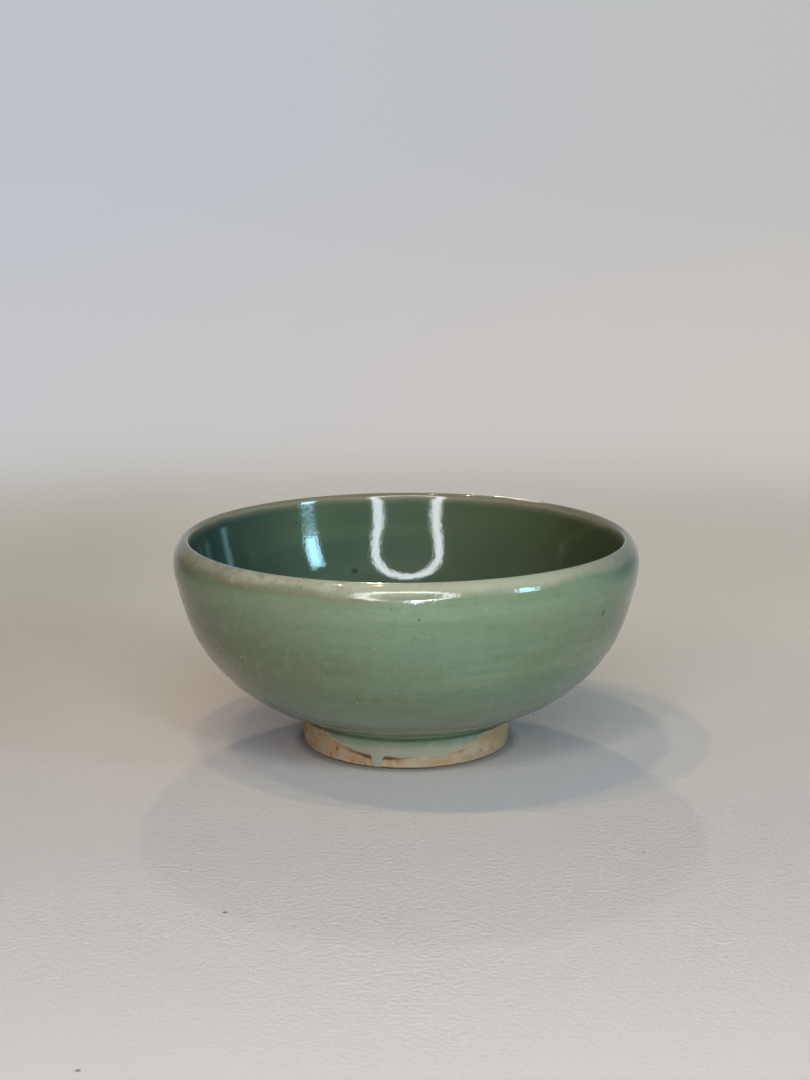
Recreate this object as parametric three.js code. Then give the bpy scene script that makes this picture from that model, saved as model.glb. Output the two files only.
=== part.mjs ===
// Rice bowl: a wheel-thrown stoneware bowl on a foot ring, with its coats of celadon glaze.
// Units are millimetres and +Z is up. The origin is on the table, at the centre of the foot.
// Outlines are drawn as radius across and height up, then turned about the bowl's axis.
// The front of the bowl, where glaze ran onto the foot, faces -Y.

import * as THREE from 'three';

// The glazed bowl
const widestRadius = 60;
const widestHeight = 49.2;
const rimHeight = 55;
const crestRadius = 56.8;
const glazeBreak = new THREE.Vector2(59.8, 51.6);
const bellyEdge = new THREE.Vector2(29.1, 9.4);
const innerLipRadius = 55.7;
const innerLipHeight = 53.4;
const innerFloorHeight = 12.5;

// The foot ring
const footHeight = 7.1;
const footTopRadius = 27.3;
const footBottomRadius = 26.9;
const footInnerRadius = 21.4;
const footInnerTaper = 0.5;
const footBevel = 0.6;

// Thickness of the glaze, which runs thin towards the lip
const coatThickness = 0.7;
const lipCoatThickness = 0.4;
const thinningStart = 47;

// Glaze that slipped over the front of the foot: angles in degrees from the front
const patchThickness = 0.45;
const patchHalfAngle = 51;
const patchFullAngle = 13;
const patchLowest = 3.1;
const runAngle = -15.7;
const runHalfWidth = 3.4;
const runLowest = 0.6;

// Space between pieces that meet, taken up by slip under the foot and by fusing at the glaze
const seam = 0.3;
const turnSteps = 60;
const patchSteps = 60;

const underside = footHeight + seam;
const grooveRadius = footTopRadius - 0.8;

const clay = { color: 0xa98a66, roughness: 0.92, metalness: 0 };
const outerCeladon = { color: 0x7c9075, roughness: 0.16, metalness: 0 };
const innerCeladon = { color: 0x55684f, roughness: 0.1, metalness: 0 };
const thinCeladon = { color: 0x77796b, roughness: 0.35, metalness: 0 };

const { degToRad, lerp, smoothstep } = THREE.MathUtils;
const point = (radius, height) => new THREE.Vector2(radius, height);

// Undercut between the foot and the belly
function groove() {
  return new THREE.CubicBezierCurve(
    point(grooveRadius, underside),
    point(grooveRadius, underside + 1),
    point(bellyEdge.x - 1.7, bellyEdge.y - 0.65),
    bellyEdge,
  );
}

// Full round belly, up to the line where the glaze breaks at the lip
function belly() {
  return new THREE.SplineCurve([
    bellyEdge,
    point(38.7, 13.4),
    point(48.7, 21.4),
    point(55.5, 31.5),
    point(58.9, 42),
    point(widestRadius, widestHeight),
    glazeBreak,
  ]);
}

// Broad outer shoulder of the lip, up to the crest
function lipShoulder() {
  return new THREE.CubicBezierCurve(
    glazeBreak,
    point(glazeBreak.x - 0.4, rimHeight - 1.2),
    point(crestRadius + 1.6, rimHeight),
    point(crestRadius, rimHeight),
  );
}

// Tight inner edge of the lip
function lipInnerEdge() {
  return new THREE.CubicBezierCurve(
    point(crestRadius, rimHeight),
    point(crestRadius - 0.6, rimHeight),
    point(innerLipRadius + 0.18, innerLipHeight + 0.78),
    point(innerLipRadius, innerLipHeight),
  );
}

// Inside wall, steep at the lip and turning into the floor in one sweep
function interior() {
  return new THREE.CubicBezierCurve(
    point(innerLipRadius, innerLipHeight),
    point(50.7, 31.7),
    point(48, innerFloorHeight),
    point(0, innerFloorHeight),
  );
}

function glazeThickness(height) {
  const thinning = smoothstep(height, thinningStart, rimHeight - 1);
  return lerp(coatThickness, lipCoatThickness, thinning);
}

// Samples the curves in order, from an optional start along each one, and moves every
// point into the wall by depth(height). Curves that follow each other share their end point.
function follow(curves, depth) {
  const outline = [];
  for (const { curve, steps, start = 0 } of curves) {
    for (let step = outline.length ? 1 : 0; step <= steps; step += 1) {
      const along = lerp(start, 1, step / steps);
      const place = curve.getPoint(along);
      const tangent = curve.getTangent(along);
      const inward = depth(place.y);
      const radius = Math.max(place.x - tangent.y * inward, 0);
      outline.push(point(radius, place.y + tangent.x * inward));
    }
  }
  return outline;
}

function outerFace() {
  return [
    { curve: groove(), steps: 4 },
    { curve: belly(), steps: 11 },
  ];
}

function innerFace(start) {
  return [
    { curve: lipShoulder(), steps: 4, start },
    { curve: lipInnerEdge(), steps: 3 },
    { curve: interior(), steps: 12 },
  ];
}

// Turns an outline that runs out along the bottom and then up, with the solid on its left
function turned(outline) {
  const geometry = new THREE.LatheGeometry(outline, turnSteps);
  geometry.rotateX(Math.PI / 2);
  return geometry;
}

// Clay wall and floor, thrown as one piece and open at the top
function bowlBody() {
  const clayDepth = (height) => glazeThickness(height) + seam;
  const wall = follow([...outerFace(), ...innerFace(0)], clayDepth);
  return turned([point(0, underside), ...wall]);
}

// Ring that the bowl stands on, with a flat resting face between two bevels
function footRing() {
  const outline = [
    point(footInnerRadius + footBevel, 0),
    point(footBottomRadius - footBevel, 0),
    point(footBottomRadius, footBevel),
    point(footTopRadius, footHeight),
    point(footInnerRadius - footInnerTaper, footHeight),
    point(footInnerRadius, footBevel),
  ];
  return turned([...outline, outline[0]]);
}

// Outside coat, from the undercut at the foot to the break line under the lip
function outerGlaze() {
  const face = follow(outerFace(), () => 0);
  const back = follow(outerFace(), glazeThickness);
  return turned([...face, ...back.reverse(), face[0]]);
}

// Inside coat, which starts just above the break line, wraps over the lip and lines the bowl
function innerGlaze() {
  const start = seam / lipShoulder().getLength();
  const face = follow(innerFace(start), () => 0);
  const back = follow(innerFace(start), glazeThickness);
  return turned([...back.reverse(), ...face]);
}

// Height of the patch's lower edge: a broad dip at the front with one narrow run beside it
function patchEdge(angle) {
  const dip = 1 - smoothstep(Math.abs(angle), patchFullAngle, patchHalfAngle);
  const apron = lerp(footHeight - 0.5, patchLowest, dip);
  const run = 1 - smoothstep(Math.abs(angle - runAngle), 0, runHalfWidth);
  return lerp(apron, runLowest, run);
}

function footWallRadius(height) {
  return lerp(footBottomRadius, footTopRadius, (height - footBevel) / (footHeight - footBevel));
}

// Thin glaze on the front of the foot: a strip of four corners carried round the wall
function footGlaze() {
  const positions = [];
  for (let step = 0; step <= patchSteps; step += 1) {
    const angle = lerp(-patchHalfAngle, patchHalfAngle, step / patchSteps);
    const low = patchEdge(angle);
    const corners = [
      [footWallRadius(low) + seam, low],
      [footWallRadius(low) + seam + patchThickness, low],
      [footTopRadius + seam + patchThickness, footHeight],
      [footTopRadius + seam, footHeight],
    ];
    const turn = degToRad(angle);
    for (const [radius, height] of corners) {
      positions.push(radius * Math.sin(turn), -radius * Math.cos(turn), height);
    }
  }
  const faces = [0, 1, 3, 1, 2, 3];
  for (let step = 0; step < patchSteps; step += 1) {
    for (let side = 0; side < 4; side += 1) {
      const here = step * 4 + side;
      const next = step * 4 + ((side + 1) % 4);
      faces.push(here, here + 4, next, next, here + 4, next + 4);
    }
  }
  const last = patchSteps * 4;
  faces.push(last, last + 3, last + 1, last + 1, last + 3, last + 2);
  const geometry = new THREE.BufferGeometry();
  geometry.setAttribute('position', new THREE.Float32BufferAttribute(positions, 3));
  geometry.setIndex(faces);
  geometry.computeVertexNormals();
  return geometry;
}

function piece(name, geometry, finish) {
  const mesh = new THREE.Mesh(geometry, new THREE.MeshStandardMaterial(finish));
  mesh.name = name;
  return mesh;
}

const riceBowl = new THREE.Group();
riceBowl.add(
  piece('bowl_body', bowlBody(), clay),
  piece('foot_ring', footRing(), clay),
  piece('outer_glaze', outerGlaze(), outerCeladon),
  piece('inner_glaze', innerGlaze(), innerCeladon),
  piece('foot_glaze', footGlaze(), thinCeladon),
);

export default riceBowl;
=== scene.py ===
"""Looks of the rice bowl: glazed stoneware on a bare foot ring, on a pale floor in soft light.

Lengths in the outlines are in millimetres, as radius and height, and MM turns them into metres.
Angles round the bowl are counted from the front, which is -Y, and grow towards +X.
"""

import math

import bpy
import numpy as np
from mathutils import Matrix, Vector

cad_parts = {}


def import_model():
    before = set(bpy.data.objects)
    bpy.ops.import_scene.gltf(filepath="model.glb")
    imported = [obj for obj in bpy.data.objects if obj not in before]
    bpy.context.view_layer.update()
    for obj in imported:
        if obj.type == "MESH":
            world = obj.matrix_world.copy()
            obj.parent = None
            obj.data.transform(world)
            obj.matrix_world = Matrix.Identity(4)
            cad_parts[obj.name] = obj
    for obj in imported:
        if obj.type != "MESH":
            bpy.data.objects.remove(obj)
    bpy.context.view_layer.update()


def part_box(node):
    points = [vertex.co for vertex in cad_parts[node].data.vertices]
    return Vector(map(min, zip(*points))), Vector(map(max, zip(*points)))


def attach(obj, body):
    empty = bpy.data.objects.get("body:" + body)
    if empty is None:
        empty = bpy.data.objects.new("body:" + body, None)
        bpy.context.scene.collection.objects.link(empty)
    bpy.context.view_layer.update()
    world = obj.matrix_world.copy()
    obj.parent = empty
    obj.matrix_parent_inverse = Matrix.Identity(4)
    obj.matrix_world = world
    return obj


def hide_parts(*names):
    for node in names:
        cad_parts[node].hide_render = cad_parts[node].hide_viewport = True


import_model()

MM = 0.001

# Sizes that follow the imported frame
RIM_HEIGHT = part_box("inner_glaze")[1][2] / MM
WIDEST_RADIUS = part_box("outer_glaze")[1][0] / MM
FOOT_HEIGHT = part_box("foot_ring")[1][2] / MM
FOOT_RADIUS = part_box("foot_ring")[1][0] / MM
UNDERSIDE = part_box("bowl_body")[0][2] / MM
GLAZE_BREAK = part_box("outer_glaze")[1][2] / MM

# The glazed outline
WIDEST_HEIGHT = RIM_HEIGHT - 5.8
CREST_RADIUS = WIDEST_RADIUS - 3.2
INNER_LIP = (WIDEST_RADIUS - 4.3, RIM_HEIGHT - 1.6)
BELLY_EDGE = (FOOT_RADIUS + 1.1, FOOT_HEIGHT + 1.85)
GROOVE_RADIUS = FOOT_RADIUS - 0.5
INNER_FLOOR = 12.5

# Thickness of the glaze, which thins between two depths below the rim, and its gap to the clay
COAT = 0.6
LIP_COAT = 0.35
THINNING_STARTS = 8.0
THINNING_ENDS = 1.0
CLAY_GAP = 0.02

# The foot ring, and the turning marks on the underside within it
FOOT_TAPER = 0.4
FOOT_INNER = 21.4
FOOT_INNER_TAPER = 0.5
FOOT_ROUND = 0.9
FOOT_TOP_ROUND = 0.4
TURNING_PITCH = 2.1
TURNING_DEPTH = 0.07

# Glaze that slipped over the front of the foot, with one run in it. Angles and the run's half
# width are in degrees, SLIP_POWER and SLIP_BEAD are shares, and the rest is in millimetres.
SLIP_HALF_ANGLE = 51.0
SLIP_FULL_ANGLE = 13.0
SLIP_LOWEST = 3.1
SLIP_POWER = 1.9
SLIP_THICKNESS = 0.16
SLIP_BEAD = 0.25
SLIP_SUNK = 0.08
RUN_ANGLE = -15.7
RUN_HALF_WIDTH = 3.9
RUN_LOWEST = 0.25
RUN_REACH = (3.0, 11.0)

# Hand-made unevenness in millimetres. Rings are (wavelength, depth). Dents are (depth, shortest
# wavelength, limit on the lobes round the bowl). The sway of the rim is (lobes, height, turn), and
# it fades in from SWAY_STARTS up. The belly is fuller on the right, about FULLER_HEIGHT.
BELLY_RINGS = [(3.3, 0.012), (5.1, 0.02), (8.4, 0.03)]
WALL_RINGS = [(4.2, 0.0006), (7.6, 0.002)]
LOW_RINGS = [(4.6, 0.03), (7.4, 0.05)]
FOOT_RINGS = [(1.7, 0.02), (2.9, 0.03)]
GLAZE_DENTS = [(0.03, 14, 5), (0.003, 2.5, 40)]
FOOT_DENTS = (0.03, 1.5, 70)
DENTS_INSIDE = 0.3
RIM_SWAY = [(1, 0.12, 0.3), (2, 0.06, 1.1), (3, 0.04, 0.0)]
SWAY_STARTS = 40.0
FULLER_RIGHT = 0.3
FULLER_HEIGHT = 24.0
FULLER_SPREAD = 12.0
CHIPS = 26

# Skin of the glaze: bumps in millimetres
PEEL_OUTSIDE = 0.02
PEEL_INSIDE = 0.016
BRUSHED_LIP = 0.038

# The two large iron spots in the glaze: place and radius in metres
SPOT_OUTSIDE = (0.0482, -0.0347, 0.0424)
SPOT_OUTSIDE_RADIUS = 0.0009
SPOT_INSIDE = (-0.0147, 0.0482, 0.034)
SPOT_INSIDE_RADIUS = 0.0011

# Points round the bowl, and across and up the slip of glaze on the foot
AROUND = 384
SLIP_ACROSS = 300
SLIP_UP = 34
ANGLES = np.arange(AROUND) * (2 * math.pi / AROUND)
SEED = 7


# ---------------------------------------------------------------- outlines

def bezier(corners, steps):
    """Points along a cubic Bezier curve."""
    t = np.linspace(0, 1, steps + 1)[:, None]
    a, b, c, d = [np.array(corner, float) for corner in corners]
    return (1 - t) ** 3 * a + 3 * (1 - t) ** 2 * t * b + 3 * (1 - t) * t ** 2 * c + t ** 3 * d


def natural_spline(points, steps):
    """Points along the natural cubic spline through the given points, by chord length."""
    points = np.array(points, float)
    gaps = np.linalg.norm(np.diff(points, axis=0), axis=1)
    knots = np.concatenate([[0], np.cumsum(gaps)])
    count = len(points)
    system = np.eye(count)
    right = np.zeros((count, 2))
    for i in range(1, count - 1):
        system[i, i - 1:i + 2] = gaps[i - 1], 2 * (gaps[i - 1] + gaps[i]), gaps[i]
        slopes = np.diff(points[i - 1:i + 2], axis=0) / gaps[i - 1:i + 1, None]
        right[i] = 6 * (slopes[1] - slopes[0])
    bend = np.linalg.solve(system, right)
    at = np.linspace(0, knots[-1], steps + 1)
    span = np.clip(np.searchsorted(knots, at, side="right") - 1, 0, count - 2)
    gap = gaps[span][:, None]
    before = (knots[span + 1] - at)[:, None]
    after = (at - knots[span])[:, None]
    return (
        (bend[span] * before ** 3 + bend[span + 1] * after ** 3) / (6 * gap)
        + (points[span] / gap - bend[span] * gap / 6) * before
        + (points[span + 1] / gap - bend[span + 1] * gap / 6) * after
    )


def glazed_outline():
    """The glazed face from the undercut, up the belly, over the lip and down to the floor.

    Returns the points, and the row where the glaze breaks at the lip.
    """
    belly = natural_spline([
        BELLY_EDGE,
        (38.7, 13.4),
        (48.7, 21.4),
        (55.5, 31.5),
        (58.9, 42.0),
        (WIDEST_RADIUS, WIDEST_HEIGHT),
        (WIDEST_RADIUS - 0.32, GLAZE_BREAK),
    ], 140)
    groove = bezier([
        (GROOVE_RADIUS, UNDERSIDE),
        (GROOVE_RADIUS + 0.1, UNDERSIDE + 0.4),
        (BELLY_EDGE[0] - 0.9, BELLY_EDGE[1] - 0.36),
        BELLY_EDGE,
    ], 12)
    shoulder = bezier([
        belly[-1],
        (belly[-1][0] - 0.55, RIM_HEIGHT - 1.6),
        (CREST_RADIUS + 1.3, RIM_HEIGHT),
        (CREST_RADIUS, RIM_HEIGHT),
    ], 24)
    inner_edge = bezier([
        (CREST_RADIUS, RIM_HEIGHT),
        (CREST_RADIUS - 0.6, RIM_HEIGHT),
        (INNER_LIP[0] + 0.18, INNER_LIP[1] + 0.78),
        INNER_LIP,
    ], 16)
    interior = bezier([
        INNER_LIP,
        (50.7, 31.7),
        (48.0, INNER_FLOOR),
        (0.0, INNER_FLOOR),
    ], 130)
    stretches = [groove, belly, shoulder, inner_edge, interior]
    outline = np.concatenate([groove[:1]] + [stretch[1:] for stretch in stretches])
    return outline, len(groove) + len(belly) - 2


def blend(low, high, value):
    """0 below low, 1 above high, smooth between."""
    t = np.clip((value - low) / (high - low), 0, 1)
    return t * t * (3 - 2 * t)


# ---------------------------------------------------------------- hand-made unevenness

def ripples(arc, waves, rng):
    """Throwing rings: shallow one-turn spirals of a few wavelengths."""
    total = np.zeros((len(arc), AROUND))
    for wavelength, depth in waves:
        phase = rng.uniform(0, 2 * math.pi)
        total += depth * np.sin(2 * math.pi * arc[:, None] / wavelength + ANGLES + phase)
    return total


def undulation(arc, dents, rng, count=28):
    """Soft random unevenness of a hand-shaped surface, closed round the bowl."""
    depth, shortest, lobes = dents
    total = np.zeros((len(arc), AROUND))
    for _ in range(count):
        turns = rng.integers(1, lobes)
        wavelength = rng.uniform(shortest, 6 * shortest)
        phase = rng.uniform(0, 2 * math.pi)
        total += np.sin(turns * ANGLES + 2 * math.pi * arc[:, None] / wavelength + phase)
    return total * depth / math.sqrt(count)


def arc_length(outline):
    return np.concatenate([[0], np.cumsum(np.linalg.norm(np.diff(outline, axis=0), axis=1))])


def outline_normals(outline):
    """Unit normals to the right of travel, which is out of the wall."""
    along = np.gradient(outline, axis=0)
    along /= np.linalg.norm(along, axis=1)[:, None]
    return np.stack([along[:, 1], -along[:, 0]], axis=1)


def spun(outline, push, lift=0.0):
    """Grid of points, one row for each outline point, pushed out along the normals."""
    normals = outline_normals(outline)
    radius = outline[:, :1] + normals[:, :1] * push
    height = outline[:, 1:] + normals[:, 1:] * push + lift
    radius = np.maximum(radius, 0)
    return np.stack([
        radius * np.sin(ANGLES),
        -radius * np.cos(ANGLES),
        height + 0 * radius,
    ], axis=2)


def grid_normals(grid):
    """Smooth normals of a spun grid, out of the wall."""
    up = np.gradient(grid, axis=0)
    around = np.roll(grid, -1, axis=1) - np.roll(grid, 1, axis=1)
    normals = np.cross(around, up)
    length = np.linalg.norm(normals, axis=2, keepdims=True)
    pole = np.array([0, 0, 1.0])
    return np.where(length > 1e-9, normals / np.maximum(length, 1e-9), pole)


# ---------------------------------------------------------------- meshes

def ring_mesh(name, rows, closed, normals=None):
    """A piece skinned over rings of points. A row of radius 0 becomes one pole vertex."""
    points = []
    indices = []
    kept = []
    for number, row in enumerate(rows):
        start = len(points)
        if np.hypot(row[:, 0], row[:, 1]).max() < 1e-6:
            points.append(row[0])
            kept.append((number, 0))
            indices.append(np.full(AROUND, start))
        else:
            points.extend(row)
            kept.extend((number, column) for column in range(AROUND))
            indices.append(start + np.arange(AROUND))
    faces = []
    last = len(rows) if closed else len(rows) - 1
    for number in range(last):
        low = indices[number]
        high = indices[(number + 1) % len(rows)]
        quads = np.stack([low, np.roll(low, -1), np.roll(high, -1), high], axis=1)
        if low[0] == low[1]:
            quads = quads[:, [0, 2, 3]]
        elif high[0] == high[1]:
            quads = quads[:, [0, 1, 2]]
        faces.extend(quads.tolist())
    mesh = bpy.data.meshes.new(name)
    mesh.from_pydata((np.array(points) * MM).tolist(), [], faces)
    mesh.shade_smooth()
    if normals is not None:
        picked = [normals[number][column] for number, column in kept]
        mesh.normals_split_custom_set_from_vertices([tuple(n) for n in picked])
    piece = bpy.data.objects.new(name, mesh)
    bpy.context.scene.collection.objects.link(piece)
    return piece


def add_attribute(piece, name, values):
    attribute = piece.data.attributes.new(name, "FLOAT", "POINT")
    attribute.data.foreach_set("value", np.asarray(values, np.float32).ravel())


def coat_thickness(height):
    """Thickness of the glaze, which runs thin towards the lip."""
    thinning = blend(RIM_HEIGHT - THINNING_STARTS, RIM_HEIGHT - THINNING_ENDS, height)
    return COAT + (LIP_COAT - COAT) * thinning


def glaze_unevenness(outline, outside, rng):
    """How far each point of the glazed face stands off its outline, row by row round the bowl."""
    arc = arc_length(outline)
    radius = outline[:, :1]
    height = outline[:, 1:]
    off_axis = blend(0, 12, radius)
    below_lip = 1 - blend(SWAY_STARTS, RIM_HEIGHT, height)
    on_belly = blend(10, 16, height) * outside * below_lip
    on_wall = (1 - blend(RIM_HEIGHT - 6, RIM_HEIGHT, height)) * ~outside * off_axis
    low_inside = (1 - blend(20, 30, height)) * ~outside * blend(1.5, 8, radius)
    push = on_belly * ripples(arc, BELLY_RINGS, rng)
    push = push + on_wall * ripples(arc, WALL_RINGS, rng)
    push = push + low_inside * ripples(arc, LOW_RINGS, rng)
    dented = off_axis * blend(9, 13, height) * np.where(outside, 1.0, DENTS_INSIDE)
    for dents in GLAZE_DENTS:
        push = push + dented * undulation(arc, dents, rng)
    fuller = np.exp(-((height - FULLER_HEIGHT) / FULLER_SPREAD) ** 2) * outside
    return push + FULLER_RIGHT * fuller * np.maximum(np.sin(ANGLES), 0) ** 2


def glazed_grid():
    """The whole glazed face as one grid, with its normals, so both coats meet smoothly."""
    rng = np.random.default_rng(SEED)
    outline, break_row = glazed_outline()
    crest_row = int(outline[:, 1].argmax())
    outside = (np.arange(len(outline)) < crest_row)[:, None]
    push = glaze_unevenness(outline, outside, rng)
    sway = sum(height * np.sin(lobes * ANGLES + turn) for lobes, height, turn in RIM_SWAY)
    lift = blend(SWAY_STARTS, RIM_HEIGHT, outline[:, 1:]) * sway
    grid = spun(outline, push, lift)
    return grid, grid_normals(grid), outline, break_row


GRID, GRID_NORMALS, OUTLINE, BREAK_ROW = glazed_grid()


def coat_rows(first, last, every=8):
    """Face rows of a coat and, in opposite order, the sparser rows of its back."""
    back_rows = sorted(set(range(first, last + 1, every)) | {last})
    depth = coat_thickness(OUTLINE[:, 1])[:, None, None]
    back = GRID - GRID_NORMALS * depth
    face = [(GRID[row], GRID_NORMALS[row]) for row in range(first, last + 1)]
    behind = [(back[row], -GRID_NORMALS[row]) for row in reversed(back_rows)]
    return face, behind


def outside_coat():
    """The coat outside, closed round its top and bottom edges."""
    face, behind = coat_rows(0, BREAK_ROW)
    rows = face + behind
    return ring_mesh("celadon_outside", [ring for ring, _ in rows], True, [n for _, n in rows])


def inside_coat():
    """The coat inside: its back from the axis up to the break, then its face to the axis."""
    face, behind = coat_rows(BREAK_ROW, len(GRID) - 1)
    rows = behind + face
    return ring_mesh("celadon_inside", [ring for ring, _ in rows], False, [n for _, n in rows])


def clay_bowl():
    """The clay behind the glaze, with its turned underside showing inside the foot."""
    depth = (coat_thickness(OUTLINE[:, 1]) + CLAY_GAP)[:, None, None]
    wall = (GRID - GRID_NORMALS * depth)[::6]
    wall[-1][:, :2] = 0
    edge = np.hypot(wall[0][0, 0], wall[0][0, 1])
    radii = np.linspace(0, edge, 70)[:-1]
    rows = []
    for radius in radii:
        turned = np.sin(2 * math.pi * radius / TURNING_PITCH - ANGLES)
        spiral = TURNING_DEPTH * turned * min(radius / 2, 1)
        rows.append(np.stack([
            radius * np.sin(ANGLES),
            -radius * np.cos(ANGLES),
            np.maximum(UNDERSIDE + 0.1 + spiral, UNDERSIDE),
        ], axis=1))
    return ring_mesh("clay_bowl", rows + list(wall), False)


def slip_edge(degrees):
    """Height of the lower edge of the glaze on the foot, at an angle from the front."""
    away = np.clip((np.abs(degrees) - SLIP_FULL_ANGLE) / (SLIP_HALF_ANGLE - SLIP_FULL_ANGLE), 0, 1)
    edge = SLIP_LOWEST + (FOOT_HEIGHT - SLIP_LOWEST) * away ** SLIP_POWER
    waver = 0.14 * np.sin(degrees / 3.1) + 0.1 * np.sin(degrees / 1.3 + 1)
    edge = edge + waver * (1 - away)
    run = 1 - blend(0.4 * RUN_HALF_WIDTH, RUN_HALF_WIDTH, np.abs(degrees - RUN_ANGLE))
    return edge + (RUN_LOWEST - edge) * run


def foot_wall_radius(height):
    return FOOT_RADIUS - FOOT_TAPER * (1 - height / FOOT_HEIGHT)


def degrees_from_front():
    degrees = np.degrees(ANGLES)
    return np.where(degrees > 180, degrees - 360, degrees)


def foot_outline():
    """The closed outline of the foot: resting face, outer wall, top and inner wall."""
    bottom = FOOT_RADIUS - FOOT_TAPER
    inner_top = FOOT_INNER - FOOT_INNER_TAPER
    wall_top = FOOT_HEIGHT - FOOT_TOP_ROUND
    top_edge = FOOT_RADIUS - FOOT_TOP_ROUND
    sides = [
        np.linspace((FOOT_INNER + FOOT_ROUND, 0), (bottom - FOOT_ROUND, 0), 16),
        bezier([
            (bottom - FOOT_ROUND, 0),
            (bottom - 0.2, 0),
            (bottom, 0.2),
            (bottom, FOOT_ROUND),
        ], 8),
        np.linspace((bottom, FOOT_ROUND), (FOOT_RADIUS, wall_top), 30),
        bezier([
            (FOOT_RADIUS, wall_top),
            (FOOT_RADIUS, FOOT_HEIGHT - 0.1),
            (FOOT_RADIUS - 0.1, FOOT_HEIGHT),
            (top_edge, FOOT_HEIGHT),
        ], 6),
        np.linspace((top_edge, FOOT_HEIGHT), (inner_top, FOOT_HEIGHT), 8),
        np.linspace((inner_top, FOOT_HEIGHT), (FOOT_INNER, FOOT_ROUND), 20),
        bezier([
            (FOOT_INNER, FOOT_ROUND),
            (FOOT_INNER, 0.2),
            (FOOT_INNER + 0.2, 0),
            (FOOT_INNER + FOOT_ROUND, 0),
        ], 6),
    ]
    return np.concatenate([side[:-1] for side in sides])


def chips(arc, edge, radius, rng):
    """Depth of small chips along an edge of the given radius, at a place along the outline."""
    total = np.zeros((len(arc), AROUND))
    for _ in range(CHIPS):
        middle = rng.uniform(0, 2 * math.pi)
        width = rng.uniform(0.3, 1.1) / radius
        depth = rng.uniform(0.05, 0.22)
        turn = (ANGLES - middle + math.pi) % (2 * math.pi) - math.pi
        reach = np.exp(-((arc - edge) / rng.uniform(0.3, 0.7)) ** 2)[:, None]
        total += depth * reach * np.exp(-(turn / width) ** 2)
    return total


def clay_foot():
    """Bare turned ring with a worn edge, small chips and grit."""
    rng = np.random.default_rng(SEED + 1)
    outline = foot_outline()
    arc = arc_length(outline)
    height = outline[:, 1:]
    shown = blend(0, 0.5, height) * (1 - blend(FOOT_HEIGHT - 0.3, FOOT_HEIGHT, height))
    push = shown * ripples(arc, FOOT_RINGS, rng)
    push = push + shown * undulation(arc, FOOT_DENTS, rng, 60)
    bottom = FOOT_RADIUS - FOOT_TAPER
    edge_row = int(np.hypot(outline[:, 0] - bottom, outline[:, 1]).argmin())
    push = push - chips(arc, arc[edge_row], bottom, rng)
    push = np.where(height < 0.01, 0, push)
    grid = spun(outline, push)
    grid[..., 2] = np.clip(grid[..., 2], 0, FOOT_HEIGHT)
    piece = ring_mesh("clay_foot", list(grid), True)
    add_attribute(piece, "below_glaze", slip_edge(degrees_from_front()) - grid[..., 2])
    return piece


def slip_layers():
    """Outer and inner points of the glaze on the foot, and how far up from its edge each is."""
    degrees = np.linspace(-SLIP_HALF_ANGLE, SLIP_HALF_ANGLE, SLIP_ACROSS)
    low = slip_edge(degrees)
    shoulder = FOOT_RADIUS - GROOVE_RADIUS
    share = np.linspace(0, 1, SLIP_UP)[:, None] ** 1.4
    from_edge = (FOOT_HEIGHT + shoulder - low) * share
    climbed = low + from_edge
    softened = blend(FOOT_HEIGHT - 0.5, FOOT_HEIGHT, climbed)
    height = np.minimum(climbed, FOOT_HEIGHT) - 0.12 * softened
    turned_in = blend(FOOT_HEIGHT - 0.6, FOOT_HEIGHT, climbed)
    inward = np.maximum(climbed - FOOT_HEIGHT, 0) + 0.1 * turned_in
    on_top = blend(FOOT_HEIGHT - 0.5, FOOT_HEIGHT + 0.3, climbed)
    wall = foot_wall_radius(height) - inward
    sides = blend(0, 5, SLIP_HALF_ANGLE - np.abs(degrees))
    bead = 1 + SLIP_BEAD * np.exp(-((from_edge - 0.8) / 0.5) ** 2)
    thick = SLIP_THICKNESS * blend(-0.1, 0.8, from_edge) * bead * sides
    turn = np.radians(degrees)
    layers = []
    for depth in (thick, -SLIP_SUNK):
        radius = wall + depth * (1 - on_top)
        lifted = height + 0.3 * on_top + depth * on_top
        layers.append(np.stack([radius * np.sin(turn), -radius * np.cos(turn), lifted], axis=2))
    return layers, from_edge


def sheet_faces(rows, columns):
    """Faces of a closed sheet: a grid of points, the same grid behind it, and the rim between."""
    index = np.arange(rows * columns).reshape(rows, columns)
    front = np.stack([index[:-1, :-1], index[:-1, 1:], index[1:, 1:], index[1:, :-1]], axis=2)
    front = front.reshape(-1, 4)
    back = front[:, ::-1] + rows * columns
    rim = np.concatenate([index[0], index[1:, -1], index[-1, -2::-1], index[-2:0:-1, 0]])
    after = np.roll(rim, -1)
    edge = np.stack([after, rim, rim + rows * columns, after + rows * columns], axis=1)
    return np.concatenate([front, back, edge]).tolist()


def foot_slip():
    """Thin skin of glaze on the front of the foot, from the undercut down to a beaded edge."""
    layers, from_edge = slip_layers()
    points = np.concatenate([layer.reshape(-1, 3) for layer in layers])
    mesh = bpy.data.meshes.new("foot_slip")
    mesh.from_pydata((points * MM).tolist(), [], sheet_faces(SLIP_UP, SLIP_ACROSS))
    mesh.shade_smooth()
    piece = bpy.data.objects.new("foot_slip", mesh)
    bpy.context.scene.collection.objects.link(piece)
    add_attribute(piece, "from_edge", np.tile(from_edge.ravel(), 2))
    return piece


# ---------------------------------------------------------------- material nodes

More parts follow.
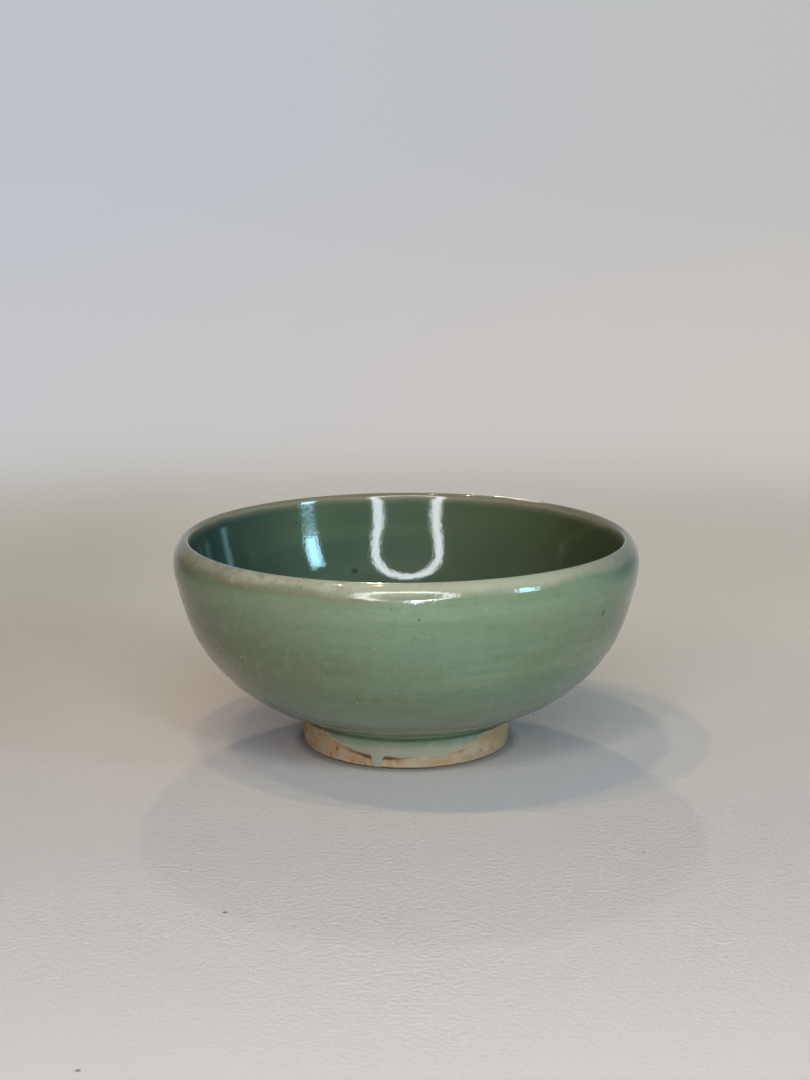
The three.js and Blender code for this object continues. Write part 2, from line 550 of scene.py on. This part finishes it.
class Nodes:
    """Short ways to add shader nodes to one tree. Noise scales are in cells per metre."""

    def __init__(self, tree, place):
        self.tree = tree
        self.place = place
        split = tree.nodes.new("ShaderNodeSeparateXYZ")
        tree.links.new(place, split.inputs[0])
        self.x, self.y, self.z = split.outputs

    def feed(self, socket, value):
        if isinstance(value, bpy.types.NodeSocket):
            self.tree.links.new(value, socket)
        else:
            socket.default_value = value

    def maths(self, operation, *values):
        node = self.tree.nodes.new("ShaderNodeMath")
        node.operation = operation
        for socket, value in zip(node.inputs, values):
            self.feed(socket, value)
        return node.outputs[0]

    def fade(self, value, low, high, start=0.0, end=1.0):
        """Go smoothly from start to end as a value goes from low to high."""
        node = self.tree.nodes.new("ShaderNodeMapRange")
        node.interpolation_type = "SMOOTHSTEP"
        for socket, given in zip(node.inputs, (value, low, high, start, end)):
            self.feed(socket, given)
        return node.outputs[0]

    def by_height(self, low, high, start=0.0, end=1.0):
        """Fade over a range of heights in millimetres."""
        return self.fade(self.z, low * MM, high * MM, start, end)

    def by_side(self, low, high, start=0.0, end=1.0):
        """Fade from left to right, in millimetres from the middle."""
        return self.fade(self.x, low * MM, high * MM, start, end)

    def by_depth(self, low, high, start=0.0, end=1.0):
        """Fade from front to back, in millimetres from the middle."""
        return self.fade(self.y, low * MM, high * MM, start, end)

    def by_radius(self, low, high, start=0.0, end=1.0):
        """Fade outwards from the axis, in millimetres."""
        return self.fade(self.radius(), low * MM, high * MM, start, end)

    def times(self, first, second):
        return self.maths("MULTIPLY", first, second)

    def centred_noise(self, scale, detail, roughness, width):
        """Noise about zero, scaled by a width."""
        centred = self.maths("SUBTRACT", self.noise(scale, detail, roughness), 0.5)
        return self.times(centred, width)

    def stretched(self, x, y, z):
        node = self.tree.nodes.new("ShaderNodeVectorMath")
        node.operation = "MULTIPLY"
        self.tree.links.new(self.place, node.inputs[0])
        node.inputs[1].default_value = (x, y, z)
        return node.outputs[0]

    def noise(self, scale, detail=3.0, roughness=0.55, vector=None, warp=0.0):
        node = self.tree.nodes.new("ShaderNodeTexNoise")
        self.tree.links.new(vector or self.place, node.inputs["Vector"])
        node.inputs["Scale"].default_value = scale
        node.inputs["Detail"].default_value = detail
        node.inputs["Roughness"].default_value = roughness
        node.inputs["Distortion"].default_value = warp
        return node.outputs["Fac"]

    def dots(self, scale, share, radius, vector=None):
        """Scattered round spots: a share of cells holds one, of a radius given in cells."""
        node = self.tree.nodes.new("ShaderNodeTexVoronoi")
        self.tree.links.new(vector or self.place, node.inputs["Vector"])
        node.inputs["Scale"].default_value = scale
        chosen = self.tree.nodes.new("ShaderNodeSeparateColor")
        self.tree.links.new(node.outputs["Color"], chosen.inputs[0])
        size = self.times(self.fade(chosen.outputs[0], 1 - share, 1.0, 0.3, 1.0), radius)
        spot = self.fade(self.maths("DIVIDE", node.outputs["Distance"], size), 0.6, 1.1, 1.0, 0.0)
        there = self.maths("GREATER_THAN", chosen.outputs[0], 1 - share)
        return self.times(spot, there)

    def mix(self, amount, first, second):
        node = self.tree.nodes.new("ShaderNodeMix")
        node.data_type = "RGBA"
        self.feed(node.inputs["Factor"], amount)
        self.feed(node.inputs["A"], first)
        self.feed(node.inputs["B"], second)
        return node.outputs["Result"]

    def attribute(self, name):
        node = self.tree.nodes.new("ShaderNodeAttribute")
        node.attribute_name = name
        return node.outputs["Fac"]

    def spot(self, place, radius):
        """One round spot at a place on the surface."""
        node = self.tree.nodes.new("ShaderNodeVectorMath")
        node.operation = "DISTANCE"
        self.tree.links.new(self.place, node.inputs[0])
        node.inputs[1].default_value = place
        return self.fade(node.outputs["Value"], 0.4 * radius, 1.3 * radius, 0.8, 0.0)

    def by_run(self):
        """Strong close to the run of glaze on the foot, weak away from it."""
        centre = FOOT_RADIUS * math.sin(math.radians(RUN_ANGLE)) * MM
        away = self.maths("ABSOLUTE", self.maths("SUBTRACT", self.x, centre))
        near = self.fade(away, RUN_REACH[0] * MM, RUN_REACH[1] * MM, 1.0, 0.12)
        return self.times(near, self.by_depth(-20, -14, 1.0, 0.0))

    def along_wall(self, around, along):
        """Stretched coordinates for bands that follow the wall from the lip down to the floor."""
        node = self.tree.nodes.new("ShaderNodeCombineXYZ")
        self.feed(node.inputs["X"], self.times(self.x, around))
        self.feed(node.inputs["Y"], self.times(self.y, around))
        self.feed(node.inputs["Z"], self.times(self.maths("ADD", self.z, self.radius()), along))
        return node.outputs[0]

    def radius(self):
        squares = self.maths("ADD", self.times(self.x, self.x), self.times(self.y, self.y))
        return self.maths("SQRT", squares)

    def bump(self, height, distance, strength=1.0, after=None):
        """A normal raised by a height from 0 to 1, over a distance in millimetres."""
        node = self.tree.nodes.new("ShaderNodeBump")
        node.inputs["Strength"].default_value = strength
        node.inputs["Distance"].default_value = distance * MM
        self.feed(node.inputs["Height"], height)
        if after is not None:
            self.tree.links.new(after, node.inputs["Normal"])
        return node.outputs[0]

    def surface(self, colour, roughness, normal, **plain):
        """Feed the material's shader. Plain values go straight onto its own sockets."""
        self.feed(self.shader.inputs["Base Color"], colour)
        self.feed(self.shader.inputs["Roughness"], roughness)
        for name, value in plain.items():
            self.shader.inputs[name.replace("_", " ")].default_value = value
        self.tree.links.new(normal, self.shader.inputs["Normal"])
        if "Coat_Weight" in plain:
            self.tree.links.new(normal, self.shader.inputs["Coat Normal"])
        return self.material


def surface_nodes(name):
    """Nodes of a new material, with its shader, placed by the coordinates of its object."""
    material = bpy.data.materials.new(name)
    material.use_nodes = True
    tree = material.node_tree
    nodes = Nodes(tree, tree.nodes.new("ShaderNodeTexCoord").outputs["Object"])
    nodes.material = material
    nodes.shader = tree.nodes["Principled BSDF"]
    return nodes


def rgb(red, green, blue):
    """A display colour in 0 to 255 as the linear colour that shaders take."""
    linear = []
    for value in (red, green, blue):
        share = value / 255
        linear.append(share / 12.92 if share <= 0.04045 else ((share + 0.055) / 1.055) ** 2.4)
    return (*linear, 1.0)


GREEN = rgb(113, 127, 98)
GREEN_LIGHT = rgb(123, 137, 108)
GREEN_BLUE = rgb(101, 121, 97)
GREEN_DEEP = rgb(84, 103, 76)
OLIVE = rgb(100, 104, 73)
OLIVE_PAINTED_SHADE = rgb(84, 88, 60)
SIDE_PAINTED_SHADE = rgb(58, 64, 42)
INNER_GREEN = rgb(79, 93, 67)
INNER_DEEP = rgb(62, 77, 54)
INNER_OLIVE_PAINTED_SHADE = rgb(74, 78, 48)
INNER_PAINTED_SHADE = rgb(48, 54, 31)
INNER_TEAL_PAINTED_REFLECTION = rgb(28, 52, 49)
POOL = rgb(86, 104, 78)
TAN = rgb(154, 150, 125)
TAN_BROWN = rgb(112, 104, 80)
PAINTED_FLOOR_REFLECTION = rgb(146, 158, 134)
PINHOLE = rgb(158, 168, 144)
IRON = rgb(48, 42, 26)
CLAY = rgb(159, 128, 95)
CLAY_PALE = rgb(173, 154, 126)
CLAY_RED = rgb(172, 118, 74)
FLASH = rgb(86, 54, 26)
SLIP_GREY = rgb(147, 144, 123)
SLIP_GREEN = rgb(110, 122, 100)
SLIP_SHADE = rgb(84, 100, 78)
SLIP_THIN = rgb(172, 160, 134)
RUN_PALE = rgb(147, 147, 131)


def glaze_surface(nodes, colour, peel, peel_depth):
    """Glassy skin under a clear coat: orange peel, and a fine roughness below the lip outside."""
    fine = nodes.noise(1.0, 3.0, 0.6, nodes.stretched(1300, 1300, 520))
    outside = nodes.by_radius(CREST_RADIUS + 0.6, CREST_RADIUS + 2.0)
    below = nodes.by_height(GLAZE_BREAK + 1.2, GLAZE_BREAK + 2.3, 1.0, 0.0)
    rough = nodes.maths("MAXIMUM", nodes.times(outside, below), 0.06)
    normal = nodes.bump(peel, peel_depth)
    normal = nodes.bump(nodes.times(fine, rough), BRUSHED_LIP, after=normal)
    return nodes.surface(
        colour, nodes.fade(fine, 0.3, 0.7, 0.4, 0.5), normal,
        Coat_Weight=0.9, Coat_Roughness=0.06, Coat_IOR=1.5, Specular_IOR_Level=0.08,
    )


def uneven_height(nodes, width):
    """Height with a random offset, so that a colour by height doesn't end in a ruled line."""
    return nodes.maths("ADD", nodes.z, nodes.centred_noise(70, 4.0, 0.65, width))


def away_from_front(nodes):
    """Where the thin glaze of the lip is browner: at both sides, as painted shade, and round the
    back.
    """
    sides = nodes.fade(nodes.maths("ABSOLUTE", nodes.x), 0.03, 0.058, 0.0, 0.6)
    return nodes.maths("MAXIMUM", sides, nodes.by_depth(-8, 36, 0.0, 1.0))


def belly_colour(nodes, lifted):
    """Soft throwing bands in green. Painted shade makes the left half darker and more olive and
    both sides darker; the belly is paler up towards the lip, from thinner glaze and a painted
    sheen; a painted reflection of the floor lies low down.
    """
    patches = nodes.noise(1.0, 4.0, 0.55, nodes.stretched(18, 18, 60), 0.4)
    bands = nodes.noise(1.0, 4.0, 0.6, nodes.stretched(7, 7, 140), 0.5)
    strokes = nodes.noise(1.0, 3.0, 0.6, nodes.stretched(45, 45, 560), 0.3)
    mottle = nodes.noise(380, 5.0, 0.7)
    colour = nodes.mix(nodes.fade(bands, 0.38, 0.62), GREEN, GREEN_BLUE)
    colour = nodes.mix(nodes.fade(patches, 0.42, 0.6, 0.0, 0.6), colour, OLIVE)
    # Painted shade: the left half of the belly darker and more olive.
    colour = nodes.mix(nodes.by_side(-55, 5, 0.85, 0.0), colour, OLIVE_PAINTED_SHADE)
    # Painted shade: both sides of the belly darker towards the edges.
    colour = nodes.mix(nodes.by_side(-61, -42, 0.9, 0.0), colour, SIDE_PAINTED_SHADE)
    colour = nodes.mix(nodes.by_side(44, 61, 0.0, 0.85), colour, SIDE_PAINTED_SHADE)
    # Paler up towards the lip: thinner glaze, and partly a painted sheen round the highlights
    # there.
    colour = nodes.mix(nodes.fade(lifted, 0.034, 0.05, 0.0, 0.5), colour, GREEN_LIGHT)
    colour = nodes.mix(nodes.fade(strokes, 0.42, 0.66, 0.0, 0.24), colour, GREEN_DEEP)
    colour = nodes.mix(nodes.fade(mottle, 0.48, 0.68, 0.0, 0.22), colour, GREEN_LIGHT)
    colour = nodes.mix(nodes.fade(mottle, 0.32, 0.48, 0.3, 0.0), colour, GREEN_DEEP)
    # Painted reflection of the floor: a paler band low on the belly, just above the undercut.
    colour = nodes.mix(nodes.by_height(9.6, 11.2, 0.75, 0.0), colour, PAINTED_FLOOR_REFLECTION)
    return nodes.mix(nodes.by_height(7.9, 8.6, 0.9, 0.0), colour, POOL)


def lip_colour(nodes, colour, lifted):
    """Tan where the glaze thins at the lip, with brown below it and brown patches in it."""
    side = nodes.by_side(-50, 20, 0.7, 0.15)
    brown = nodes.fade(lifted, (GLAZE_BREAK - 1.6) * MM, (GLAZE_BREAK + 0.6) * MM)
    colour = nodes.mix(nodes.times(brown, side), colour, TAN_BROWN)
    thin = nodes.fade(lifted, (GLAZE_BREAK + 0.1) * MM, (GLAZE_BREAK + 2.4) * MM)
    colour = nodes.mix(thin, colour, TAN)
    worn = nodes.times(nodes.fade(nodes.noise(240, 4.0, 0.7), 0.42, 0.66), side)
    colour = nodes.mix(nodes.times(worn, brown), colour, TAN_BROWN)
    # Browner at both sides, as painted shade, and round the back.
    return nodes.mix(nodes.times(thin, away_from_front(nodes)), colour, TAN_BROWN)


def outside_colour(nodes):
    """Green belly and tan lip, with pinholes and iron specks over both."""
    lifted = uneven_height(nodes, 0.0045)
    colour = lip_colour(nodes, belly_colour(nodes, lifted), lifted)
    bubbly = nodes.by_height(30, 45, 0.95, 0.5)
    colour = nodes.mix(nodes.times(nodes.dots(430, 0.65, 0.12), bubbly), colour, PINHOLE)
    colour = nodes.mix(nodes.dots(330, 0.3, 0.1, nodes.stretched(1, 1, 1.3)), colour, IRON)
    return nodes.mix(nodes.spot(SPOT_OUTSIDE, SPOT_OUTSIDE_RADIUS), colour, IRON)


def inside_colour(nodes):
    """Darker, thicker celadon, its darkness partly painted shade, even and smooth, tan only along
    the crest of the lip. Painted shade makes the right side darker and more olive, and a painted
    reflection of the window turns the left side teal.
    """
    bands = nodes.noise(1.0, 3.0, 0.5, nodes.along_wall(8, 90), 0.5)
    clouds = nodes.noise(28, 3.0, 0.5)
    lifted = uneven_height(nodes, 0.0016)
    colour = nodes.mix(nodes.fade(bands, 0.4, 0.6, 0.0, 0.9), INNER_GREEN, INNER_DEEP)
    # Painted shade: the right side of the inside darker and more olive.
    colour = nodes.mix(nodes.by_side(-20, 40, 0.1, 0.8), colour, INNER_OLIVE_PAINTED_SHADE)
    colour = nodes.mix(nodes.by_side(26, 54, 0.0, 0.8), colour, INNER_PAINTED_SHADE)
    # Painted reflection of the window: the left side of the inside teal.
    colour = nodes.mix(nodes.by_side(-54, -24, 0.95, 0.0), colour, INNER_TEAL_PAINTED_REFLECTION)
    colour = nodes.mix(nodes.fade(clouds, 0.4, 0.65, 0.0, 0.5), colour, INNER_DEEP)
    brown = nodes.fade(lifted, (RIM_HEIGHT - 3.2) * MM, (RIM_HEIGHT - 1.2) * MM, 0.0, 0.75)
    colour = nodes.mix(brown, colour, TAN_BROWN)
    thin = nodes.fade(lifted, (RIM_HEIGHT - 1.8) * MM, (RIM_HEIGHT - 0.3) * MM)
    colour = nodes.mix(thin, colour, TAN)
    # Browner at both sides, as painted shade, and round the back.
    colour = nodes.mix(nodes.times(thin, away_from_front(nodes)), colour, TAN_BROWN)
    colour = nodes.mix(nodes.dots(260, 0.12, 0.11), colour, IRON)
    return nodes.mix(nodes.spot(SPOT_INSIDE, SPOT_INSIDE_RADIUS), colour, IRON)


def celadon_outside():
    nodes = surface_nodes("celadon_outside")
    return glaze_surface(nodes, outside_colour(nodes), nodes.noise(520, 2.0), PEEL_OUTSIDE)


def celadon_inside():
    """The inside coat reaches over the crest, so past it the outside colours take over."""
    nodes = surface_nodes("celadon_inside")
    over = nodes.by_radius(CREST_RADIUS - 0.3, CREST_RADIUS + 0.6)
    colour = nodes.mix(over, inside_colour(nodes), outside_colour(nodes))
    return glaze_surface(nodes, colour, nodes.noise(1100, 2.0), PEEL_INSIDE)


def bare_clay(name, beside_glaze):
    """Bare fired clay: orange tan with grit and iron specks.

    Beside glaze it also has a brown line along the glaze's edge, and its lowest outer edge is
    painted dark as contact shade.
    """
    nodes = surface_nodes(name)
    patches = nodes.noise(150, 4.0, 0.6)
    grit = nodes.noise(1500, 3.0)
    colour = nodes.mix(nodes.fade(patches, 0.35, 0.65), CLAY, CLAY_PALE)
    redder = nodes.by_side(-26, 12, 1.0, 0.25)
    blushed = nodes.times(nodes.fade(nodes.noise(260, 3.0), 0.36, 0.7), redder)
    colour = nodes.mix(blushed, colour, CLAY_RED)
    colour = nodes.mix(nodes.fade(grit, 0.35, 0.7, 0.0, 0.25), colour, CLAY_PALE)
    if beside_glaze:
        below = nodes.attribute("below_glaze")
        wander = nodes.centred_noise(380, 3.0, 0.55, 1.6)
        near = nodes.maths("ABSOLUTE", nodes.maths("ADD", below, wander))
        line = nodes.times(nodes.fade(near, 0.25, 1.1, 0.95, 0.0), nodes.by_run())
        line = nodes.times(line, nodes.by_height(1.6, 2.8))
        colour = nodes.mix(line, colour, FLASH)
        colour = nodes.mix(nodes.by_height(0.4, 1.4, 0.5, 0.0), colour, CLAY_PALE)
        # Painted contact shade: the lowest outer edge of the foot dark.
        painted_contact_shade = nodes.times(nodes.by_height(0.2, 0.6, 0.9, 0.0), nodes.by_radius(26.1, 26.5))
        colour = nodes.mix(painted_contact_shade, colour, FLASH)
    burnt = nodes.times(nodes.fade(nodes.noise(700, 4.0, 0.7), 0.57, 0.68, 0.0, 0.8), redder)
    colour = nodes.mix(burnt, colour, FLASH)
    colour = nodes.mix(nodes.times(nodes.dots(520, 0.45, 0.16), 0.8), colour, FLASH)
    normal = nodes.bump(grit, 0.08)
    normal = nodes.bump(nodes.noise(5200, 2.0), 0.03, after=normal)
    roughness = nodes.fade(grit, 0.3, 0.7, 0.8, 0.95)
    return nodes.surface(colour, roughness, normal, Specular_IOR_Level=0.25)


def thin_glaze():
    """Thin glaze on the foot: green by the undercut, grey below, thinning out to the clay."""
    nodes = surface_nodes("thin_glaze")
    from_edge = nodes.attribute("from_edge")
    mottle = nodes.noise(320, 3.0)
    colour = nodes.mix(nodes.by_height(4.8, 7.1), SLIP_GREY, SLIP_GREEN)
    colour = nodes.mix(nodes.fade(mottle, 0.4, 0.7, 0.0, 0.2), colour, SLIP_THIN)
    wander = nodes.centred_noise(600, 2.0, 0.55, 0.8)
    reach = nodes.maths("ADD", from_edge, wander)
    colour = nodes.mix(nodes.fade(reach, 0.0, 1.1, 0.85, 0.0), colour, SLIP_THIN)
    run = nodes.times(nodes.by_run(), nodes.by_height(2.8, 4.2, 0.85, 0.0))
    colour = nodes.mix(run, colour, RUN_PALE)
    line = nodes.times(nodes.fade(reach, 0.0, 0.6, 0.6, 0.0), nodes.by_run())
    line = nodes.times(line, nodes.by_height(1.6, 2.8))
    colour = nodes.mix(line, colour, FLASH)
    # Painted shade: the top of the glaze on the foot darker, under the undercut.
    colour = nodes.mix(nodes.by_height(6.9, 7.3, 0.0, 0.6), colour, SLIP_SHADE)
    normal = nodes.bump(nodes.noise(900, 2.0), 0.05)
    return nodes.surface(
        colour, 0.6, normal, Coat_Weight=0.02, Coat_Roughness=0.5, Specular_IOR_Level=0.05,
    )


# ---------------------------------------------------------------- stage, light and camera

# The camera: distance and aim in metres, lens and sensor in millimetres
CAMERA_TILT = math.radians(11.95)
CAMERA_DISTANCE = 0.5178
AIM = (-0.0003, 0.0, 0.0532)
LENS = 66.67
SENSOR = 36.0

BACKDROP_LEFT = rgb(190, 195, 205)
BACKDROP_RIGHT = rgb(190, 190, 189)
SWEEP_LEFT = rgb(197, 198, 202)
SWEEP_RIGHT = rgb(204, 197, 190)
SWEEP_LOW = rgb(190, 187, 178)
ROOM_LEFT = rgb(64, 58, 46)
ROOM_RIGHT = rgb(36, 78, 104)
ROOM_FRONT = rgb(74, 74, 72)
ROOM_TOP = rgb(91, 107, 137)
FLOOR_FAR = rgb(218, 206, 190)
FLOOR_NEAR = rgb(190, 178, 171)
FLOOR_PAINTED_SHADOW = rgb(190, 181, 165)
FLOOR_PAINTED_CONTACT_SHADOW = rgb(96, 94, 88)
FLOOR_SPECK = rgb(96, 90, 82)

# The floor, in metres
FLOOR_LEVEL = -0.00005
FLOOR_RADII = [0.02, *np.geomspace(0.05, 2.5, 24)]
FLOOR_SIDES = 96

# The ring light round the camera, in metres, and the part of it that the camera hides. Shares
# across and up the light go from 0 to 1.
RING_ABOVE = 0.118
RING_ASIDE = -0.006
RING_RADIUS = 0.182
RING_TUBE = 0.05
RING_LOW_PART = 0.2
RING_HIDDEN_MIDDLE = 0.39
RING_HIDDEN_REACH = 0.16
RING_HIDDEN_LOSS = 1.85

# What the lights face, and their colours
BOWL_MIDDLE = (0, 0, 0.04)
LAMP_COOL = (0.93, 1.0, 1.06)
LAMP_WARM = (1.0, 0.83, 0.44)
LAMP_PALE = (1.0, 0.9, 0.74)
DAYLIGHT = (0.4, 0.82, 1.0)


def camera():
    """A camera in front of the bowl that looks slightly down at its rim."""
    data = bpy.data.cameras.new("camera")
    data.lens = LENS
    data.sensor_width = SENSOR
    made = bpy.data.objects.new("camera", data)
    made.location = (
        AIM[0],
        AIM[1] - CAMERA_DISTANCE * math.cos(CAMERA_TILT),
        AIM[2] + CAMERA_DISTANCE * math.sin(CAMERA_TILT),
    )
    made.rotation_euler = (math.pi / 2 - CAMERA_TILT, 0, 0)
    bpy.context.scene.collection.objects.link(made)
    bpy.context.scene.camera = made
    return made


def aimed_light(name, location, size, power, colour, shape="DISK", height=None):
    """An area light that faces the bowl and isn't seen itself."""
    data = bpy.data.lights.new(name, "AREA")
    data.shape = shape
    data.size = size
    if height:
        data.size_y = height
    data.energy = power
    data.color = colour
    made = bpy.data.objects.new(name, data)
    made.location = location
    direction = Vector(BOWL_MIDDLE) - Vector(location)
    made.rotation_euler = direction.to_track_quat("-Z", "Y").to_euler()
    made.visible_camera = False
    bpy.context.scene.collection.objects.link(made)
    return made


def shaped(light, strength):
    """Let the brightness over a light's face follow strength(nodes), with x and y from 0 to 1."""
    light.data.use_nodes = True
    tree = light.data.node_tree
    nodes = Nodes(tree, tree.nodes.new("ShaderNodeNewGeometry").outputs["Parametric"])
    tree.links.new(strength(nodes), tree.nodes["Emission"].inputs["Strength"])


def ring_light(location, power, colour):
    """A disk light that shines in a band along its edge.

    The lowest part of the band is brighter, apart from a stretch that the camera hides.
    """
    outer = RING_RADIUS + RING_TUBE / 2
    band_starts = 0.5 * (RING_RADIUS - RING_TUBE / 2) / outer
    light = aimed_light("ring_light", location, 2 * outer, power, colour)

    def band(nodes):
        across = nodes.maths("SUBTRACT", nodes.x, 0.5)
        along = nodes.maths("SUBTRACT", nodes.y, 0.5)
        squares = nodes.maths("ADD", nodes.times(across, across), nodes.times(along, along))
        lit = nodes.maths("GREATER_THAN", squares, band_starts ** 2)
        low = nodes.maths("LESS_THAN", nodes.y, RING_LOW_PART)
        aside = nodes.maths("ABSOLUTE", nodes.maths("SUBTRACT", nodes.x, RING_HIDDEN_MIDDLE))
        hidden = nodes.maths("LESS_THAN", aside, RING_HIDDEN_REACH)
        gain = nodes.maths("SUBTRACT", 1.0, nodes.times(hidden, RING_HIDDEN_LOSS))
        return nodes.times(lit, nodes.maths("ADD", 1.0, nodes.times(low, gain)))

    shaped(light, band)


def window_light(location, width, height, power, colour):
    """Daylight from the right: a tall bright part, a dim band below it and a bright sill."""
    light = aimed_light("window", location, width, power, colour, "RECTANGLE", height)

    def panes(nodes):
        aside = nodes.maths("SUBTRACT", nodes.times(nodes.x, 2.0), 1.0)
        edges = nodes.maths("POWER", nodes.maths("ABSOLUTE", aside), 3.0)
        across = nodes.maths("SUBTRACT", 1.0, edges)
        along = nodes.maths("SUBTRACT", 1.0, nodes.maths("POWER", nodes.y, 9.0))
        tall = nodes.times(nodes.maths("GREATER_THAN", nodes.y, 0.12), nodes.times(along, 1.2))
        sill = nodes.maths("LESS_THAN", nodes.y, 0.025)
        bright = nodes.maths("ADD", 0.12, nodes.maths("ADD", tall, sill))
        return nodes.times(bright, across)

    shaped(light, panes)


def lights(eye):
    """Ring light round the camera, two lamps overhead, a weak one behind and a window."""
    up = Vector((0, math.sin(CAMERA_TILT), math.cos(CAMERA_TILT)))
    ring = eye.location + up * RING_ABOVE + Vector((RING_ASIDE, 0, 0))
    ring_light(ring, power=7.6, colour=LAMP_COOL)
    aimed_light("lamp_left", (-0.40, -0.08, 1.2), size=0.02, power=1.9, colour=LAMP_WARM)
    aimed_light("lamp_near", (-0.155, -0.08, 1.2), size=0.02, power=1.7, colour=LAMP_WARM)
    aimed_light("lamp_behind", (-0.045, 0.78, 0.64), size=0.03, power=1.5, colour=LAMP_PALE)
    window_light((0.735, -0.43, 0.36), width=0.16, height=0.24, power=2.9, colour=DAYLIGHT)


def world():
    """A plain pale backdrop, in a room that is dimmer at the sides, in front and overhead."""
    made = bpy.data.worlds.new("studio")
    made.use_nodes = True
    tree = made.node_tree
    nodes = Nodes(tree, tree.nodes.new("ShaderNodeTexCoord").outputs["Generated"])
    across, depth, rise = nodes.x, nodes.y, nodes.z
    side = nodes.fade(across, -0.3, 0.3)
    backdrop = nodes.mix(side, BACKDROP_LEFT, BACKDROP_RIGHT)
    sweep = nodes.mix(side, SWEEP_LEFT, SWEEP_RIGHT)
    sweep = nodes.mix(nodes.fade(rise, -0.2, -0.14), SWEEP_LOW, sweep)
    backdrop = nodes.mix(nodes.fade(rise, -0.14, 0.0), sweep, backdrop)
    room = nodes.mix(nodes.fade(across, -0.6, 0.6), ROOM_LEFT, ROOM_RIGHT)
    room = nodes.mix(nodes.fade(depth, -0.5, 0.0), ROOM_FRONT, room)
    room = nodes.mix(nodes.fade(depth, 0.7, 1.0), room, backdrop)
    room = nodes.mix(nodes.fade(rise, 0.05, 0.4), room, ROOM_TOP)
    seen = tree.nodes.new("ShaderNodeLightPath").outputs["Is Camera Ray"]
    colour = nodes.mix(seen, room, backdrop)
    tree.links.new(colour, tree.nodes["Background"].inputs["Color"])
    bpy.context.scene.world = made


def paper():
    """Pale paper with a fine tooth and a few specks, fading out well behind the bowl, with painted
    shade and light on it: darker in front, lighter behind, a painted shadow to the left and a
    painted contact shadow round the foot.
    """
    nodes = surface_nodes("floor")
    tooth = nodes.times(nodes.noise(800, 4.0), nodes.by_radius(120, 240, 1.0, 0.0))
    # Painted shade and light: the floor darker towards the front and lighter towards the back.
    reach = nodes.maths("ADD", nodes.y, nodes.centred_noise(14, 2.0, 0.55, 0.06))
    colour = nodes.mix(nodes.fade(reach, -0.1, 0.16), FLOOR_NEAR, FLOOR_FAR)
    # Painted shadow: a darker patch on the floor to the left of the bowl.
    painted_shadow = nodes.times(nodes.by_side(-130, -50, 0.7, 0.0), nodes.by_depth(-40, 50))
    colour = nodes.mix(painted_shadow, colour, FLOOR_PAINTED_SHADOW)
    # Painted contact shadow: a dark ring on the floor round the foot.
    colour = nodes.mix(nodes.by_radius(27.2, 30.5, 0.55, 0.0), colour, FLOOR_PAINTED_CONTACT_SHADOW)
    colour = nodes.mix(nodes.times(nodes.dots(55, 0.5, 0.036), 0.85), colour, FLOOR_SPECK)
    nodes.surface(colour, 0.75, nodes.bump(tooth, 1.0, 0.6), Specular_IOR_Level=0.2)
    clear = nodes.tree.nodes.new("ShaderNodeBsdfTransparent")
    mixed = nodes.tree.nodes.new("ShaderNodeMixShader")
    nodes.feed(mixed.inputs[0], nodes.by_radius(160, 500))
    nodes.tree.links.new(nodes.shader.outputs[0], mixed.inputs[1])
    nodes.tree.links.new(clear.outputs[0], mixed.inputs[2])
    nodes.tree.links.new(mixed.outputs[0], nodes.tree.nodes["Material Output"].inputs["Surface"])
    return nodes.material


def floor():
    """A wide disk, a hair under the foot."""
    turn = np.arange(FLOOR_SIDES) * 2 * math.pi / FLOOR_SIDES
    points = [(0, 0, FLOOR_LEVEL)]
    for radius in FLOOR_RADII:
        points.extend((radius * math.cos(a), radius * math.sin(a), FLOOR_LEVEL) for a in turn)
    faces = [(0, 1 + i, 1 + (i + 1) % FLOOR_SIDES) for i in range(FLOOR_SIDES)]
    for ring in range(len(FLOOR_RADII) - 1):
        inner = 1 + ring * FLOOR_SIDES
        outer = inner + FLOOR_SIDES
        for i in range(FLOOR_SIDES):
            j = (i + 1) % FLOOR_SIDES
            faces.append((inner + i, outer + i, outer + j, inner + j))
    mesh = bpy.data.meshes.new("floor")
    mesh.from_pydata(points, [], faces)
    made = bpy.data.objects.new("floor", mesh)
    bpy.context.scene.collection.objects.link(made)
    made.data.materials.append(paper())


# ---------------------------------------------------------------- the bowl

def place(piece, material, node, slot):
    """Give a piece its material and let it stand for a CAD piece."""
    piece.data.materials.append(material)
    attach(piece, "root")
    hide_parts(node)


place(clay_bowl(), bare_clay("clay_under", beside_glaze=False), "bowl_body", "stoneware")
place(clay_foot(), bare_clay("clay_foot", beside_glaze=True), "foot_ring", "stoneware")
place(outside_coat(), celadon_outside(), "outer_glaze", "celadon_outside")
place(inside_coat(), celadon_inside(), "inner_glaze", "celadon_inside")
place(foot_slip(), thin_glaze(), "foot_glaze", "celadon_thin")

floor()
world()
lights(camera())
bpy.context.scene.view_settings.view_transform = "Standard"
